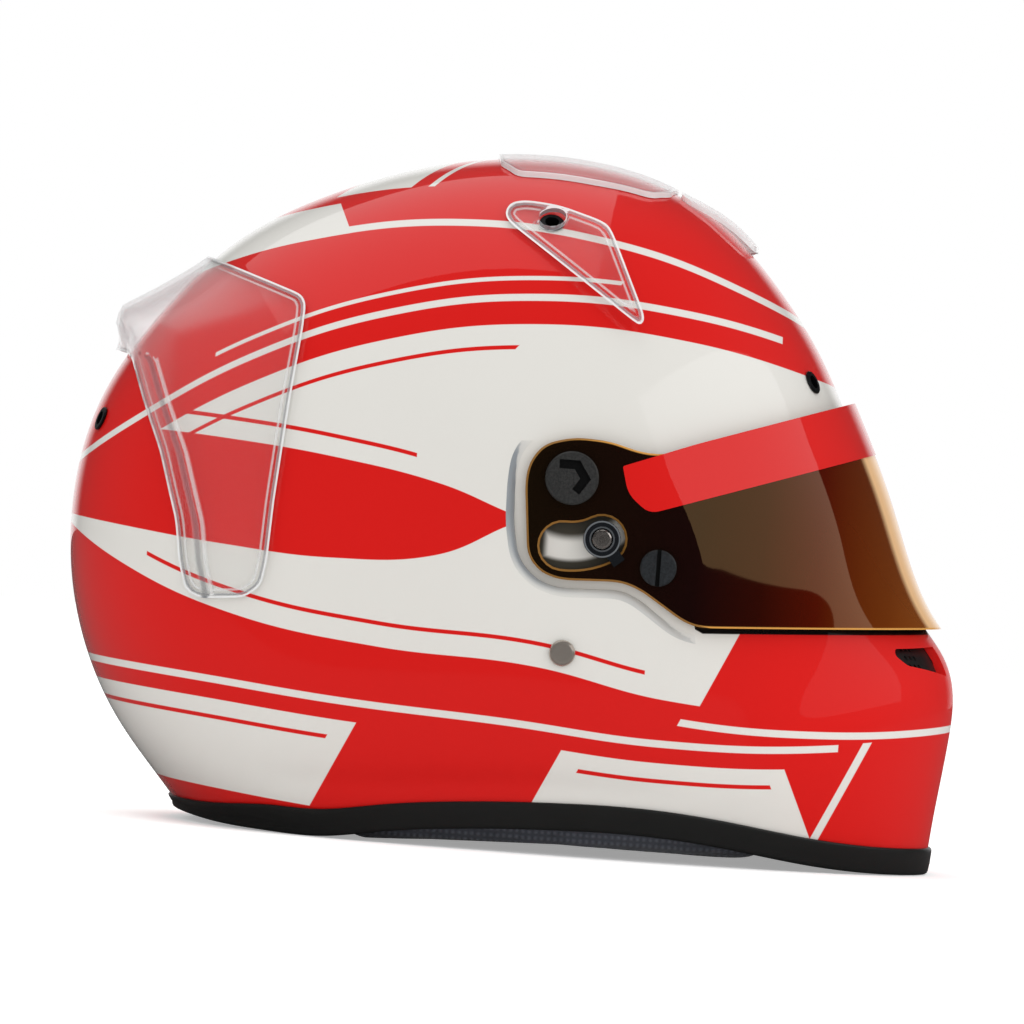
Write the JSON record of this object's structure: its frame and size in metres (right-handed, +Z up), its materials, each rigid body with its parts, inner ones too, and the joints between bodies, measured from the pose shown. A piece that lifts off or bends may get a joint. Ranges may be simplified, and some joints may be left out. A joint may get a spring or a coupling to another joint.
{
  "type": "auto racing helmet",
  "caption": "Full-face auto racing helmet with a hinged smoke visor, lock cams, clear aerodynamic add-ons, foam liners, fabric pads and a chin strap with rings.",
  "frame": {"origin": "under the middle of the helmet's bounding box, on the surface that it stands on", "axes": "+X to the front of the helmet, +Y to the wearer's left, +Z up"},
  "size_m": [0.3482, 0.2484, 0.268],
  "materials": {
    "shell_paint": "gloss clear coat over red and off-white paint",
    "trim_rubber": "satin black rubber",
    "gasket_rubber": "matt black rubber",
    "liner_foam": "moulded bead foam",
    "comfort_fabric": "dark grey fire-resistant knit",
    "mesh": "matt black perforated plate",
    "black_metal": "black anodised",
    "steel": "satin stainless steel",
    "black_plastic": "moulded black nylon",
    "visor_lens": "dark smoke polycarbonate with a gold tint",
    "sun_strip": "gloss film",
    "webbing": "woven black webbing",
    "clear_plastic": "clear polycarbonate"
  },
  "bodies": {
    "helmet": {"base_trim": "trim_rubber", "cheek_pad_left": "comfort_fabric", "cheek_pad_right": "comfort_fabric", "chin_bar_liner": "liner_foam", "chin_strap_left": "webbing", "chin_strap_right": "webbing", "chin_vent_mesh_left": "mesh", "chin_vent_mesh_right": "mesh", "comfort_liner": "comfort_fabric", "crown_liner": "liner_foam", "crown_vent_ferrules": "black_metal", "eyeport_gasket": "gasket_rubber", "forehead_vent_ferrules": "black_metal", "front_strip": "clear_plastic", "lock_post_left": "steel", "lock_post_right": "steel", "lock_screw_left": "steel", "lock_screw_right": "steel", "neck_roll": "comfort_fabric", "outer_shell": "shell_paint", "pivot_boss_left": "black_plastic", "pivot_boss_right": "black_plastic", "pivot_cap_left": "black_plastic", "pivot_cap_right": "black_plastic", "pivot_nut_left": "black_metal", "pivot_nut_right": "black_metal", "rear_spoiler": "clear_plastic", "rear_vent_ferrules": "black_metal", "side_deflector_left": "clear_plastic", "side_deflector_right": "clear_plastic", "strap_anchor_plate_left": "steel", "strap_anchor_plate_right": "steel", "strap_rivets": "steel", "top_deflector": "clear_plastic"},
    "visor": {"visor_lens": "visor_lens", "visor_sun_strip": "sun_strip"},
    "lock_cam_right": {"lock_cam_right": "black_plastic"},
    "lock_cam_left": {"lock_cam_left": "black_plastic"},
    "tear_off_right": {"tear_off_post_right": "black_plastic"},
    "tear_off_left": {"tear_off_post_left": "black_plastic"},
    "strap_ring_outer": {"d_ring_outer": "steel"},
    "strap_ring_inner": {"d_ring_inner": "steel"}
  },
  "joints": [
    {"name": "visor_hinge", "type": "hinge", "parent": "helmet", "child": "visor", "pos_m": [0.019, 0, 0.1429], "axis": [0, -1, 0], "range_deg": [0, 32]},
    {"name": "lock_cam_turn_right", "type": "hinge", "parent": "helmet", "child": "lock_cam_right", "pos_m": [0.03204, -0.1194, 0.12075], "axis": [0, -1, 0], "range_deg": [0, 60]},
    {"name": "lock_cam_turn_left", "type": "hinge", "parent": "helmet", "child": "lock_cam_left", "pos_m": [0.03204, 0.1194, 0.12075], "axis": [0, -1, 0], "range_deg": [0, 60]},
    {"name": "tear_off_turn_right", "type": "hinge", "parent": "visor", "child": "tear_off_right", "pos_m": [0.05401, -0.1194, 0.11151], "axis": [0, -1, 0], "range_deg": [-90, 90]},
    {"name": "tear_off_turn_left", "type": "hinge", "parent": "visor", "child": "tear_off_left", "pos_m": [0.05401, 0.1194, 0.11151], "axis": [0, 1, 0], "range_deg": [-90, 90]},
    {"name": "ring_swing_outer", "type": "hinge", "parent": "helmet", "child": "strap_ring_outer", "pos_m": [0.02029, -0.0659, 0.031], "axis": [1, 0, 0], "range_deg": [-12, 0]},
    {"name": "ring_swing_inner", "type": "hinge", "parent": "helmet", "child": "strap_ring_inner", "pos_m": [0.02029, -0.0621, 0.031], "axis": [1, 0, 0], "range_deg": [0, 70]}
  ]
}
